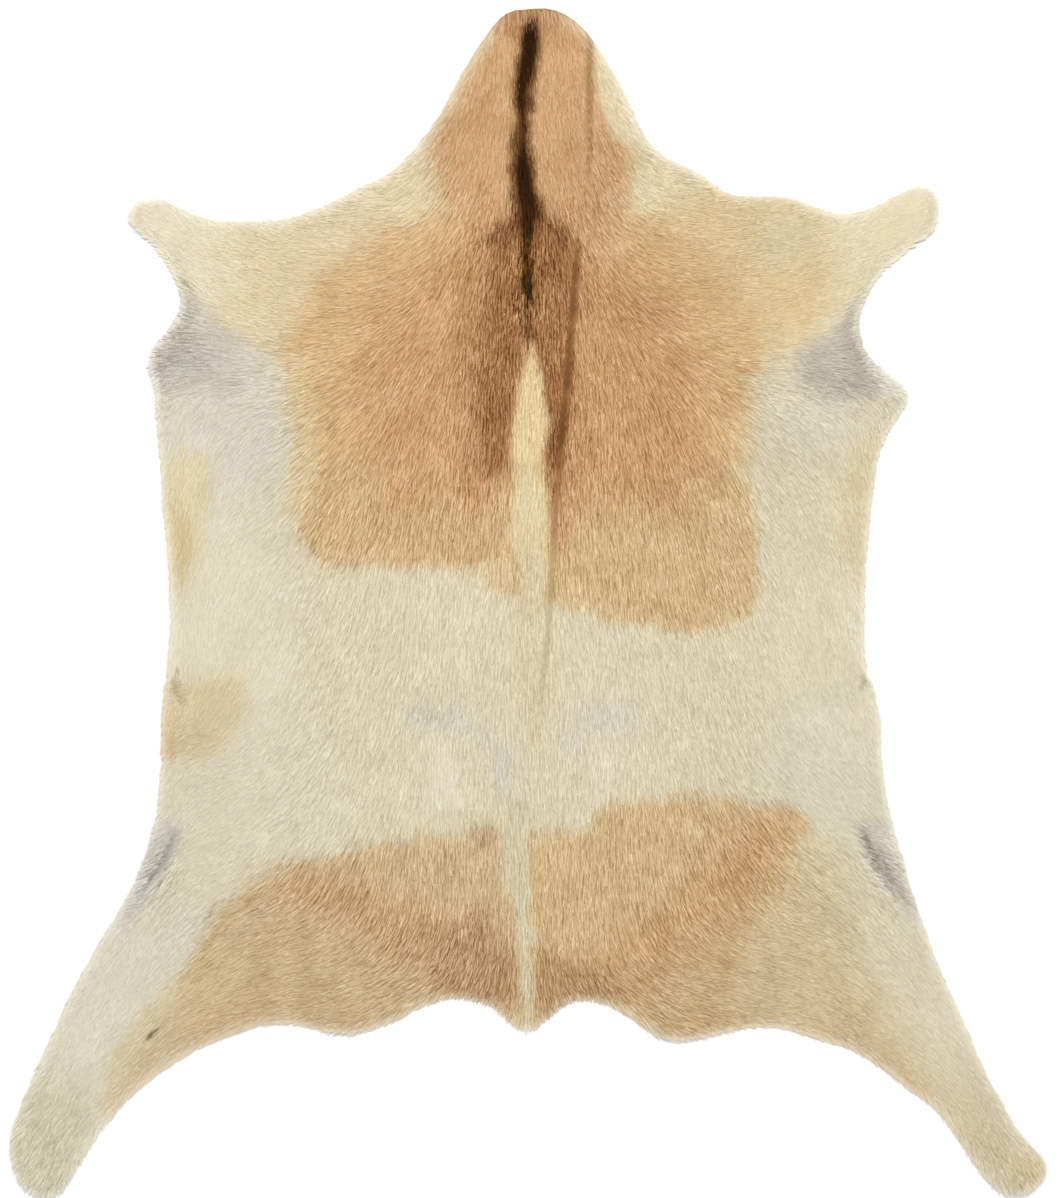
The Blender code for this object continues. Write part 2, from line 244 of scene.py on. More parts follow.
# Patches: (colour, strength, half the fade at the rim, corners as pairs across and along)
PATCHES = {
    "left shoulder, pale": ((225, 215, 185), 0.95, 12, ((-310, 300), (-280, 312), (-250, 298), (-200, 296),
        (-150, 306), (-120, 322), (-85, 336), (-70, 300), (-90, 280), (-130, 262), (-180, 240), (-222, 206),
        (-242, 222), (-262, 240), (-280, 258), (-304, 280))),
    "left shoulder, golden": ((219, 200, 161), 0.9, 24, ((-222, 282), (-170, 290), (-130, 300), (-100, 290),
        (-75, 276), (-60, 240), (-80, 190), (-180, 184), (-206, 190), (-226, 204), (-232, 220), (-220, 240),
        (-228, 262))),
    "right shoulder, pale": ((224, 211, 176), 0.95, 14, ((75, 345), (95, 342), (120, 328), (150, 322),
        (200, 314), (225, 306), (240, 300), (280, 314), (300, 318), (312, 296), (294, 270), (268, 256),
        (252, 236), (236, 218), (222, 204), (200, 196), (160, 230), (120, 270), (85, 290))),
    "right shoulder, golden": ((215, 190, 144), 0.95, 24, ((92, 306), (140, 314), (200, 310), (214, 296),
        (224, 266), (228, 240), (218, 212), (205, 196), (190, 188), (170, 184), (150, 184), (80, 240),
        (70, 280))),
    "right shoulder, greyish": ((211, 196, 160), 0.7, 12, ((165, 296), (210, 296), (218, 270), (200, 250),
        (170, 256))),
    "saddle": ((211, 177, 129), 1.0, 15, ((-75, 300), (-110, 282), (-136, 262), (-158, 240), (-176, 214),
        (-186, 196), (-174, 170), (-168, 130), (-166, 90), (-160, 50), (0, 20), (160, 20), (166, 60),
        (160, 100), (166, 140), (170, 180), (174, 196), (160, 225), (136, 256), (110, 280), (75, 300))),
    "saddle, lower left": ((201, 171, 125), 1.0, 6, ((-146, 110), (-168, 80), (-174, 60), (-169, 40),
        (-150, 29), (-100, 27), (-60, 29), (-30, 28), (-28, 15), (-16, 6), (-4, 3), (-4, 110))),
    "saddle, lower right": ((203, 175, 129), 1.0, 6, ((8, 110), (8, 0), (20, -2), (50, -5), (60, -13),
        (100, -17), (125, -23), (150, -15), (166, -8), (173, 2), (172, 50), (160, 90), (146, 110))),
    "saddle, pale left rim": ((213, 190, 146), 0.8, 8, ((-190, 190), (-165, 190), (-155, 120), (-165, 70),
        (-182, 70), (-180, 120))),
    "saddle, deep left": ((197, 155, 109), 0.85, 25, ((-110, 230), (-60, 270), (-25, 280), (-20, 80),
        (-100, 70), (-130, 120), (-130, 180))),
    "saddle, deep right": ((191, 147, 101), 0.85, 25, ((25, 280), (70, 255), (110, 220), (130, 160),
        (132, 100), (110, 74), (30, 74))),
    "neck": ((198, 158, 113), 1.0, 13, ((-24, 452), (24, 452), (54, 432), (64, 400), (68, 370), (74, 345),
        (80, 330), (76, 312), (64, 300), (60, 280), (-50, 280), (-60, 300), (-72, 316), (-74, 340),
        (-70, 368), (-62, 392), (-50, 420))),
    "neck, upper left": ((211, 188, 145), 0.6, 10, ((-20, 452), (-50, 420), (-64, 390), (-74, 365),
        (-55, 370), (-42, 395), (-25, 425))),
    # Partly painted light: the lit side of the fold right of the long crease at the neck, on hair that is
    # paler there too
    "pale strip beside the crease, partly painted light": ((218, 203, 165), 0.9, 5, ((50, 424), (64, 414), (80, 380), (92, 356),
        (84, 345), (74, 345), (64, 352), (56, 370), (50, 395))),
    "neck, lower right": ((203, 166, 120), 0.5, 8, ((58, 340), (74, 345), (82, 330), (74, 312), (60, 316))),
    "left neck base": ((221, 203, 161), 0.85, 14, ((-118, 326), (-84, 342), (-78, 318), (-76, 298),
        (-92, 288), (-118, 298))),
    "right neck base": ((221, 205, 166), 0.85, 14, ((84, 346), (100, 342), (124, 324), (112, 302), (86, 300),
        (82, 316))),
    "reddish about the stripe": ((178, 131, 86), 0.7, 14, ((-50, 266), (-26, 294), (26, 294), (44, 266),
        (44, 200), (40, 100), (30, 40), (14, 50), (0, 190), (-14, 100), (-40, 70), (-54, 120), (-56, 200))),
    "brown beside the stripe": ((150, 103, 62), 0.87, 8, ((-26, 272), (-12, 292), (14, 292), (28, 276),
        (34, 240), (33, 200), (30, 150), (27, 110), (22, 86), (14, 90), (12, 120), (10, 160), (3, 196),
        (-3, 196), (-10, 160), (-14, 124), (-16, 104), (-30, 94), (-38, 124), (-42, 170), (-34, 210))),
    "left golden flank": ((214, 199, 158), 0.8, 8, ((-286, 112), (-262, 113), (-240, 113), (-238, 90),
        (-244, 60), (-250, 30), (-260, 8), (-270, 20), (-284, 70))),
    "right golden flank": ((208, 191, 153), 0.7, 9, ((270, 130), (250, 124), (234, 90), (236, 50), (246, 10),
        (260, 10), (268, 70))),
    "left waist patch": ((210, 193, 154), 0.88, 8, ((-290, -52), (-262, -60), (-240, -55), (-215, -55),
        (-212, -75), (-218, -90), (-226, -106), (-246, -118), (-292, -120), (-292, -80))),
    "left waist patch, orange rim": ((211, 184, 138), 0.7, 8, ((-290, -80), (-266, -84), (-262, -114),
        (-292, -118))),
    "right waist patch": ((216, 206, 177), 0.8, 6, ((247, -62), (275, -66), (278, -118), (252, -110),
        (243, -88))),
    "left armpit": ((196, 189, 173), 0.9, 9, ((-275, 242), (-254, 230), (-236, 214), (-218, 200),
        (-200, 186), (-200, 165), (-230, 155), (-290, 162), (-300, 185), (-276, 205))),
    "left armpit, dark": ((178, 171, 158), 0.6, 9, ((-265, 202), (-242, 198), (-228, 182), (-248, 172),
        (-280, 178))),
    "right armpit": ((181, 173, 156), 0.9, 9, ((268, 240), (246, 224), (232, 208), (214, 196), (200, 186),
        (202, 165), (232, 152), (275, 160), (270, 180), (262, 200))),
    "rump, left": ((203, 176, 134), 1.0, 8, ((-20, -166), (-60, -174), (-100, -178), (-140, -189),
        (-180, -200), (-210, -213), (-226, -228), (-240, -244), (-252, -266), (-265, -288), (-274, -306),
        (-292, -328), (-308, -354), (-318, -380), (-312, -392), (-290, -372), (-240, -342), (-180, -326),
        (-120, -332), (-60, -308), (0, -334), (2, -170))),
    "rump, right": ((203, 175, 130), 1.0, 7, ((-2, -176), (40, -172), (50, -160), (60, -152), (80, -150),
        (120, -146), (150, -146), (170, -152), (200, -157), (212, -166), (206, -182), (200, -200),
        (212, -240), (232, -280), (262, -320), (296, -362), (322, -400), (312, -396), (286, -366),
        (240, -340), (180, -328), (110, -336), (60, -308), (0, -334))),
    "right thigh, golden": ((209, 190, 151), 0.85, 16, ((200, -185), (222, -184), (236, -224), (254, -272),
        (288, -332), (334, -400), (322, -396), (285, -358), (240, -338), (190, -322), (150, -306),
        (166, -256), (190, -214))),
    "left thigh, greyish": ((203, 178, 137), 0.8, 16, ((-220, -262), (-140, -256), (-110, -318),
        (-240, -330))),
    "left leg, inner": ((203, 184, 149), 0.8, 8, ((-262, -304), (-286, -318), (-304, -340), (-314, -366),
        (-316, -384), (-296, -372), (-256, -344))),
    "right leg, inner": ((199, 176, 135), 0.8, 10, ((210, -318), (246, -322), (292, -362), (330, -408),
        (342, -430), (318, -402), (285, -368), (240, -342))),
    "left rump, reddish": ((190, 151, 107), 0.7, 16, ((-206, -208), (-170, -204), (-120, -218), (-60, -236),
        (-30, -254), (-20, -300), (-60, -302), (-84, -278), (-130, -248), (-176, -226))),
    "right rump, reddish": ((199, 161, 115), 0.82, 15, ((196, -168), (178, -160), (150, -174), (130, -206),
        (96, -236), (54, -260), (14, -280), (14, -304), (50, -302), (80, -296), (118, -266), (164, -228),
        (190, -198))),
    "left of the tail": ((176, 141, 100), 0.8, 12, ((-66, -246), (-36, -232), (-12, -258), (-5, -300),
        (-40, -304), (-70, -290))),
    "right of the tail": ((178, 142, 100), 0.75, 12, ((5, -262), (30, -266), (62, -278), (74, -302),
        (30, -306), (4, -312))),
    "left flank, grey": ((207, 201, 187), 0.95, 7, ((-261, -164), (-264, -186), (-272, -206), (-286, -230),
        (-300, -244), (-322, -240), (-304, -166))),
    "right flank, grey": ((208, 201, 184), 0.95, 7, ((248, -164), (252, -186), (264, -206), (280, -230),
        (298, -250), (318, -244), (280, -168))),
    "left flank, dark": ((192, 186, 173), 0.7, 5, ((-262, -174), (-266, -190), (-276, -208), (-292, -218),
        (-302, -202), (-284, -182), (-270, -170))),
    "right flank, dark": ((174, 166, 150), 0.75, 4.5, ((250, -174), (259, -176), (270, -188), (286, -211),
        (300, -235), (292, -235), (273, -216), (257, -198))),
    "smudge, left belly": ((203, 195, 177), 0.75, 7, ((-96, -78), (-48, -80), (-42, -100), (-92, -94))),
    "smudge, right belly": ((206, 197, 178), 0.75, 7, ((34, -78), (84, -74), (82, -96), (36, -100))),
    "smudge, lower left": ((208, 200, 184), 0.7, 5, ((-42, -92), (-24, -98), (-10, -112), (-12, -146),
        (-24, -144), (-28, -112), (-40, -102))),
    "smudge, lower right": ((206, 198, 180), 0.7, 5, ((24, -98), (42, -98), (42, -116), (26, -114))),
    "pale streak, left": ((226, 217, 196), 0.45, 9, ((-76, -104), (-54, -104), (-52, -156), (-76, -158))),
    "pale streak, right": ((226, 217, 195), 0.45, 8, ((50, -106), (66, -106), (64, -150), (50, -150))),
    "smear, left rump": ((180, 158, 128), 0.7, 4, ((-228, -258), (-216, -238), (-200, -228), (-196, -236),
        (-212, -252), (-222, -264))),
    "left leg, golden rim": ((213, 198, 162), 0.85, 7, ((-275, -289), (-260, -293), (-286, -331),
        (-305, -361), (-316, -384), (-324, -380), (-317, -346), (-295, -312))),
    "crown": ((164, 119, 77), 0.85, 7, ((-32, 458), (24, 458), (28, 442), (12, 430), (-14, 427),
        (-32, 438))),
    "left shank, golden tip": ((228, 217, 190), 0.8, 8, ((-310, 312), (-262, 310), (-262, 286), (-276, 272),
        (-300, 276), (-314, 292))),
    "left armpit, outer rim": ((221, 214, 199), 1.0, 5, ((-290, 226), (-264, 230), (-266, 212), (-278, 196),
        (-282, 180), (-276, 150), (-300, 140), (-306, 190))),
    "right armpit, outer rim": ((218, 212, 191), 1.0, 5, ((278, 230), (254, 228), (252, 214), (258, 200),
        (264, 186), (264, 160), (286, 150), (292, 190))),
    "left golden flank, deep": ((203, 180, 135), 0.6, 5, ((-272, 66), (-264, 78), (-254, 60), (-256, 30),
        (-262, 16), (-268, 24))),
    "right buttock, pale rim": ((209, 191, 157), 0.7, 7, ((92, -322), (120, -328), (150, -322), (160, -340),
        (120, -352), (90, -345))),
    "saddle, deepest right": ((184, 138, 92), 0.2, 18, ((40, 230), (76, 222), (104, 180), (100, 136),
        (64, 112), (40, 130))),
    "right rump, deepest": ((184, 144, 98), 0.55, 10, ((194, -170), (178, -168), (158, -180), (140, -206),
        (150, -216), (178, -200))),
    "smear, top of the left rump": ((176, 150, 116), 0.5, 4, ((-44, -168), (-26, -166), (-24, -184),
        (-42, -186))),
    "left chest, below the golden shoulder": ((213, 205, 184), 0.6, 6, ((-216, 192), (-192, 190),
        (-184, 176), (-182, 150), (-204, 140), (-218, 160))),
    "left thigh, pale edge": ((217, 210, 191), 0.5, 7, ((-262, -222), (-246, -226), (-240, -240),
        (-250, -262), (-266, -280), (-280, -262))),
    "tongue of the saddle, paler": ((215, 193, 153), 0.6, 5, ((-28, 32), (-12, 34), (-8, 14), (-16, 5),
        (-28, 12))),
    "left thigh, golden rim": ((213, 192, 150), 0.55, 9, ((-248, -270), (-222, -231), (-198, -226),
        (-208, -262), (-228, -300), (-258, -328), (-276, -322), (-262, -293))),
}

# Stripes along a line, some of them painted shade in creases and folds: (colour, strength, half the fade,
# points as across, along and half width)
STRIPES = {
    "left wing of the stripe": ((112, 74, 44), 0.55, 6, ((-6, 294, 6), (-15, 284, 8), (-26, 274, 4))),
    "right wing of the stripe": ((108, 70, 42), 0.55, 5, ((4, 296, 6), (13, 285, 7), (26, 278, 3))),
    "dark edge left of the wedge": ((150, 105, 68), 0.5, 6, ((-9, 190, 2), (-16, 160, 4), (-22, 130, 5),
        (-25, 108, 2))),
    "dark edge right of the wedge": ((130, 88, 54), 0.7, 4, ((8, 196, 2), (16, 158, 5), (20, 120, 5),
        (20, 92, 1.5))),
    "brown rim of the neck stripe": ((90, 56, 27), 0.9, 4, ((3, 435, 5), (1, 424, 8), (-2, 404, 8.5),
        (-5, 384, 6.5), (-4, 360, 8), (-4.5, 332, 8), (-2, 312, 8.5), (0, 296, 10), (-1, 282, 5),
        (-1, 262, 3), (-1, 240, 3.5), (-1, 218, 3.5), (0, 202, 3))),
    "neck stripe": ((46, 26, 9), 0.97, 2.2, ((3, 435, 3.4), (1.5, 427, 5.6), (-0.8, 410, 5.2),
        (-3.4, 398, 4.4), (-5.6, 382, 2.2), (-4.6, 372, 1.8), (-3.4, 358, 2.6), (-4.2, 340, 2.8),
        (-4.8, 328, 3.6), (-3, 316, 4.4), (0, 304, 6.2), (0, 292, 5), (-1.2, 280, 2.2))),
    "wedge": ((217, 195, 148), 0.97, 4, ((3, 196, 0.5), (4, 180, 5), (3, 160, 10), (1, 140, 12),
        (-1, 120, 12), (0, 100, 11.5), (1, 60, 12.5), (2, 34, 11), (3, 18, 6))),
    "lower half of the wedge": ((216, 201, 162), 0.7, 5, ((0, 104, 5), (0, 84, 10), (1, 56, 11),
        (2, 34, 10))),
    "end of the wedge": ((209, 194, 159), 0.8, 6, ((2, 30, 5), (4, 10, 9), (5, -6, 6))),
    "tail stripe": ((208, 198, 167), 0.9, 5, ((-9, -160, 12), (-9, -190, 10.5), (-8, -212, 8.5),
        (-6, -232, 6.5), (-3, -252, 5), (-1, -280, 3.4), (0, -322, 2.6))),
    "dot by the left armpit": ((120, 108, 96), 0.75, 2.0, ((-258.5, 241, 1.6), (-255, 238, 1.6))),
    "curl on the left thigh": ((130, 110, 86), 0.6, 0.9, ((-238, -228, 0.5), (-241.5, -236, 0.7),
        (-239, -244, 0.5))),
    "mark on the left thigh": ((130, 110, 86), 0.6, 0.9, ((-231, -226, 0.4), (-224, -223, 0.6))),
    "mark on the left leg": ((108, 88, 64), 0.9, 1.2, ((-286, -327, 1.2), (-277, -320, 1.3))),
    "rim of the left flank fold": ((226, 220, 202), 0.9, 1.6, ((-261, -170, 0.8), (-263, -190, 1.6),
        (-272, -209, 1.6), (-283, -228, 0.6))),
    "rim of the right flank fold": ((228, 221, 200), 0.9, 1.3, ((243, -164, 0.6), (248, -181, 1.4),
        (253, -195, 1.6), (266, -214, 1.4), (280, -232, 0.5))),
    # Painted shade: dark lines in the waist whorls and along the flank folds
    "left waist whorl, painted shade line": ((158, 138, 106), 0.5, 1.3, ((-265, -52, 0.5), (-267, -60, 1.1),
        (-265, -69, 1.3), (-259, -77, 0.6))),
    "right waist whorl, painted shade line": ((172, 159, 132), 0.5, 1.4, ((251, -54, 0.6), (254, -60, 1.1),
        (252, -67, 0.6))),
    "left flank, painted shade line": ((156, 149, 136), 0.3, 3.0, ((-259, -168, 0.4), (-266, -181, 1.8),
        (-274, -198, 1.8), (-283, -212, 0.6))),
    "right flank, painted shade line": ((158, 150, 134), 0.3, 3.5, ((250, -172, 0.5), (254, -184, 2), (263, -199, 2),
        (275, -214, 0.8))),
    # Painted shade: dark lines along the long crease at the withers and at the neck
    "withers crease, painted shade": ((136, 94, 59), 0.55, 2, ((38, 274, 0.5), (36, 250, 1.6), (33, 210, 1.6),
        (30, 170, 1.8), (26, 130, 1.4), (23, 104, 0.5))),
    "neck crease, painted shade": ((156, 118, 78), 0.5, 1.6, ((47, 422, 1), (46, 400, 1.6), (46, 372, 1.2), (46, 340, 0.6),
        (44, 322, 0.2))),
    "neck stripe, lower end": ((58, 36, 13), 0.9, 2.8, ((-1.2, 286, 2), (-0.8, 266, 1.6), (-1, 248, 2.6),
        (-1.2, 232, 2.2), (-1, 218, 2.4), (-0.5, 205, 1.4))),
}

# Sharp troughs in the coat, with painted shade in them: (depth, tone of the painted shade at the bottom,
# points as across, along and half width)
CREASES = {
    "long crease, neck": (1.6, 0.8, ((47, 424, 1.4), (46, 400, 2.0), (46, 372, 1.7), (46, 340, 1.2),
        (43, 318, 0.8), (39, 290, 0.8))),
    "long crease, withers": (1.7, 0.7, ((38, 276, 1.2), (36, 250, 2.2), (33, 210, 2.2), (30, 170, 2.4),
        (26, 130, 2.0), (23, 96, 1.4))),
    "long crease, belly": (1.5, 0.78, ((22, 90, 1.4), (20, 60, 1.6), (17, 20, 1.6), (16, -10, 1.6),
        (12, -50, 1.4), (7, -84, 0.6))),
    "left flank": (1.5, 0.8, ((-263, -168, 0.8), (-271, -188, 1.8), (-283, -208, 1.6), (-296, -230, 0.6))),
    "right flank": (1.5, 0.88, ((249, -166, 0.8), (256, -186, 1.8), (268, -203, 1.6), (284, -226, 0.6))),
    "left waist whorl": (1.2, 0.86, ((-266, -56, 0.6), (-265, -66, 1.4), (-261, -76, 0.6))),
    "right waist whorl": (1.2, 0.86, ((253, -52, 0.6), (252, -60, 1.4), (248, -70, 0.6))),
}


def soft_step(share):
    share = np.clip(share, 0, 1)
    return share * share * (3 - 2 * share)


def soft_mix(share):
    """Half way between a straight and an eased change, so that sections join without a crease."""
    share = np.clip(share, 0, 1)
    return 0.5 * share + 0.5 * soft_step(share)


def unit(vectors):
    return vectors / np.maximum(np.linalg.norm(vectors, axis=-1, keepdims=True), TINY)


def turned(vectors, angles):
    c, s = np.cos(angles), np.sin(angles)
    return np.stack([vectors[:, 0] * c - vectors[:, 1] * s, vectors[:, 0] * s + vectors[:, 1] * c], axis=1)


def away_from(points, x, y, across=1.0, along=1.0):
    """Distance from a place, in millimetres or as a share of a reach across and a reach along."""
    return np.hypot((points[:, 0] - x) / across, (points[:, 1] - y) / along)


def grid_points(xs, ys):
    return np.stack(np.meshgrid(xs, ys), axis=2).reshape(-1, 2)


def blend(grid, row, column, down, right):
    """Values between a grid's own, at these shares of the way to the next row and column."""
    near = grid[row, column] * (1 - right) + grid[row, column + 1] * right
    far = grid[row + 1, column] * (1 - right) + grid[row + 1, column + 1] * right
    return near * (1 - down) + far * down


def nearest_on(points, route, closed=False):
    """How far each point lies from a route of straight pieces, the piece, and the share along it."""
    starts = route if closed else route[:-1]
    ends = np.roll(route, -1, axis=0) if closed else route[1:]
    nearest = np.full(len(points), np.inf)
    piece = np.zeros(len(points), int)
    place = np.zeros(len(points))
    for index, (start, end) in enumerate(zip(starts, ends)):
        along = end - start
        share = np.clip((points - start) @ along / max(along @ along, TINY), 0, 1)
        away = np.hypot(*(points - start - share[:, None] * along).T)
        closer = away < nearest
        nearest[closer] = away[closer]
        piece[closer] = index
        place[closer] = share[closer]
    return nearest, piece, place


def nearest_mark(points, marks):
    """How far each point lies from the line through the marks, and the line's half width there."""
    away, piece, place = nearest_on(points, marks[:, :2])
    return away, marks[piece, 2] + (marks[piece + 1, 2] - marks[piece, 2]) * place


def inside(points, loop):
    within = np.zeros(len(points), bool)
    for (x0, y0), (x1, y1) in zip(loop, np.roll(loop, -1, axis=0)):
        if y0 == y1:
            continue
        crosses = (y0 > points[:, 1]) != (y1 > points[:, 1])
        within ^= crosses & (points[:, 0] < (x1 - x0) * (points[:, 1] - y0) / (y1 - y0) + x0)
    return within


def depth_inside(points, loop):
    """Distance from a closed loop, positive inside it."""
    away = nearest_on(points, loop, True)[0]
    return np.where(inside(points, loop), away, -away)


def within_box(points, corners, margin):
    low, high = corners.min(axis=0) - margin, corners.max(axis=0) + margin
    return ((points > low) & (points < high)).all(axis=1)


class Waves:
    """Smooth seeded rises and falls between -1 and 1, at a span in millimetres."""

    side = 256

    def __init__(self, span, seed):
        self.span = span
        values = np.random.default_rng(seed).uniform(-1, 1, (self.side, self.side))
        self.values = np.pad(values, (0, 1), mode="wrap")

    def __call__(self, points):
        u = points / self.span + self.side / 2
        cell = np.floor(u).astype(int)
        part = soft_step(u - cell)
        column, row = (cell % self.side).T
        return blend(self.values, row, column, part[:, 1], part[:, 0])


class Map:
    """Values on an even grid over the hide, read between its points."""

    def __init__(self, low, values):
        self.low = low
        self.values = values
        self.last = np.array(values.shape[::-1]) - 1.001

    def __call__(self, points):
        u = np.clip((points - self.low) / MAP_STEP, 0, self.last)
        cell = u.astype(int)
        part = u - cell
        return blend(self.values, cell[:, 1], cell[:, 0], part[:, 1], part[:, 0])


def edge_of(node):
    """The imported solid's edge from above, as one clockwise loop of points in millimetres."""
    slope = 0.5
    sides = {}
    spots = [tuple(round(value, 6) for value in v.co) for v in node.data.vertices]
    for face in node.data.polygons:
        kind = (abs(face.normal.z) < slope, face.normal.z > slope)
        corners = [spots[i] for i in face.vertices]
        for a, b in zip(corners, corners[1:] + corners[:1]):
            sides.setdefault(frozenset((a, b)), []).append(kind)
    onward = {}
    for edge, faces in sides.items():
        if len(faces) == 2 and any(steep for steep, _ in faces) and any(upper for _, upper in faces):
            a, b = edge
            onward.setdefault(a, []).append(b)
            onward.setdefault(b, []).append(a)
    start = max(onward, key=lambda spot: spot[1])
    loop, before, here = [start], None, start
    while True:
        choices = [spot for spot in onward[here] if spot != before]
        before, here = here, choices[0]
        if here == start:
            break
        loop.append(here)
    loop = np.array(loop)[:, :2] / MM
    following = np.roll(loop, -1, axis=0)
    area = (loop[:, 0] * following[:, 1] - following[:, 0] * loop[:, 1]).sum()
    return loop if area < 0 else loop[::-1]


def outward_of(loop):
    """Unit vectors out of a clockwise loop, one at each of its points."""
    ahead = np.roll(loop, -1, axis=0) - np.roll(loop, 1, axis=0)
    return unit(np.stack([-ahead[:, 1], ahead[:, 0]], axis=1))


def spread(values, known, rows=12):
    """Fills the unknown cells next to known ones with their neighbours' mean, a few rows out."""
    values = np.where(known, values, 0.0)
    for _ in range(rows):
        total = np.zeros_like(values)
        count = np.zeros_like(values)
        for dy, dx in ((0, 1), (0, -1), (1, 0), (-1, 0)):
            total += np.roll(values * known, (dy, dx), (0, 1))
            count += np.roll(known, (dy, dx), (0, 1))
        fresh = ~known & (count > 0)
        values[fresh] = total[fresh] / count[fresh]
        known = known | fresh
    return values


def depth_map(low, shape, loop):
    """The distance inside a loop, as a map."""
    rows, columns = shape
    grid = grid_points(np.arange(columns), np.arange(rows)) * MAP_STEP + low
    return Map(low, depth_inside(grid, loop).reshape(shape))


def maps_of(node, edge):
    """Maps of the solid: heights of its top and its flesh side, and the distance inside its edge."""
    low = edge.min(axis=0) - MAP_MARGIN
    size = np.ceil((edge.max(axis=0) + MAP_MARGIN - low) / MAP_STEP).astype(int) + 1
    xs, ys = (start + MAP_STEP * np.arange(count) for start, count in zip(low, size))
    tree = BVHTree.FromPolygons([v.co for v in node.data.vertices], [p.vertices for p in node.data.polygons])
    top = np.zeros((len(ys), len(xs)))
    base = np.zeros_like(top)
    known = np.zeros(top.shape, bool)
    clear = 0.1
    up, down = Vector((0, 0, 1)), Vector((0, 0, -1))
    for j, y in enumerate(ys):
        for i, x in enumerate(xs):
            hit = tree.ray_cast(Vector((x * MM, y * MM, clear)), down)[0]
            if hit is None:
                continue
            under = tree.ray_cast(Vector((x * MM, y * MM, -clear)), up)[0]
            top[j, i], base[j, i], known[j, i] = hit.z / MM, under.z / MM, True
    top, base = (Map(low, spread(heights, known)) for heights in (top, base))
    return SimpleNamespace(top=top, base=base, edge=depth_map(low, known.shape, edge))


def skin_area(skin_map):
    return (skin_map.values > 0).sum() * MAP_STEP**2


def coat_depth(points, maps):
    return np.maximum(maps.top(points) - maps.base(points) - SKIN, LEAST_COAT)


def turns_at(points):
    """The hair's turn outward from the line to the tail, in degrees."""
    alongs = np.array(list(COMB)[::-1], float)
    turns = np.array(list(COMB.values())[::-1], float)
    marks = np.array(COMB_ACROSS, float)
    across = np.abs(points[:, 0])
    along = np.clip(points[:, 1], alongs[0], alongs[-1] - 0.01)
    column = np.clip(np.searchsorted(marks, across) - 1, 0, len(marks) - 2)
    row = np.clip(np.searchsorted(alongs, along, side="right") - 1, 0, len(alongs) - 2)
    right = soft_mix((across - marks[column]) / (marks[column + 1] - marks[column]))
    down = soft_mix((along - alongs[row]) / (alongs[row + 1] - alongs[row]))
    turn = blend(turns, row, column, down, right)
    near = soft_step(1.5 - np.abs(points[:, 1]) / LEFT_SPREAD_REACH)
    turn *= 1 - LEFT_SPREAD * np.sign(points[:, 0]) * near
    for x, y, reach, wanted in WHORLS.values():
        pull = soft_step(1.4 * (1 - away_from(points, x, y) / reach))
        turn = turn + (wanted - turn) * pull
    return turn


def combed(points):
    """Unit vectors of the way the hair lies, before it leans outward at the edge."""
    turn = np.radians(turns_at(points))
    side = np.where(points[:, 0] < 0, -1.0, 1.0)
    return np.stack([side * np.sin(turn), -np.cos(turn)], axis=1)


def outward_at(points, edge_map, nudge=2.0):
    east = edge_map(points + (nudge, 0)) - edge_map(points - (nudge, 0))
    north = edge_map(points + (0, nudge)) - edge_map(points - (0, nudge))
    return -unit(np.stack([east, north], axis=1))


def lie_at(points, edge_map):
    """Unit vectors of the way the hair lies, leaning outward a little at the edge."""
    lean = EDGE_LEAN * soft_step(1 - edge_map(points) / EDGE_LEAN_REACH)
    return unit(combed(points) + outward_at(points, edge_map) * lean[:, None])


def colour_at(points):
    """The coat's colour, as display red, green and blue from 0 to 1, before single hairs differ. Some of its
    stripes and washes are painted shade in creases, folds and beside the spine, and one patch is partly
    painted light on a fold.
    """
    wobble = Waves(14.0, 1)(points) * 0.6 + Waves(5.0, 2)(points) * 0.4
    slow = Waves(60.0, 3)(points)
    colour = np.tile(np.array(CREAM, float), (len(points), 1))

    def lay(wanted, share):
        colour[:] = colour + (np.array(wanted, float) - colour) * share[:, None]

    def lay_shape(wanted, strength, softness, near, depth):
        share = np.zeros(len(points))
        share[near] = strength * soft_step(0.5 + depth / (2 * softness))
        lay(wanted, share)

    for wanted, strength, x, y, half_width, half_length in WASHES.values():
        away = away_from(points, x, y, half_width, half_length)
        lay(wanted, strength * soft_step(1.5 - away + 0.15 * slow))
    for wanted, strength, softness, corners in PATCHES.values():
        corners = np.array(corners, float)
        near = within_box(points, corners, 2 * softness)
        depth = depth_inside(points[near], corners) + wobble[near] * softness * PATCH_WANDER
        lay_shape(wanted, strength, softness, near, depth)
    for wanted, strength, softness, marks in STRIPES.values():
        marks = np.array(marks, float)
        near = within_box(points, marks[:, :2], marks[:, 2].max() + 2 * softness)
        away, half = nearest_mark(points[near], marks)
        lay_shape(wanted, strength, softness, near, half - away + wobble[near] * softness * STRIPE_WANDER)
    return colour / 255.0 * COAT_GAIN


def calm_at(points):
    """How much smoother than elsewhere the coat lies, from 0 to 1."""
    calm = np.zeros(len(points))
    for share, *place in CALM.values():
        calm = np.maximum(calm, share * soft_step(1.5 - away_from(points, *place)))
    return calm


def creases_at(points):
    """How far the coat dips at each point, and the painted shade that darkens it there."""
    full_width = 1.5
    drop = np.zeros(len(points))
    tone = np.ones(len(points))
    for depth, bottom, marks in CREASES.values():
        away, half = nearest_mark(points, np.array(marks, float))
        share = soft_step(1.5 - 0.75 * away / half) * np.clip(half / full_width, 0, 1)
        drop = np.maximum(drop, depth * share)
        tone = np.minimum(tone, 1 - (1 - bottom) * share)
    return drop, tone


def linear(display):
    return np.where(display <= 0.04045, display / 12.92, ((display + 0.055) / 1.055) ** 2.4)


def deeper(colours, tone):
    """Colours at a darker tone, and so a little richer, as hair is in its own shade."""
    richer = 0.45
    return colours ** (1 + richer * (1 - tone))[..., None] * tone[..., None]


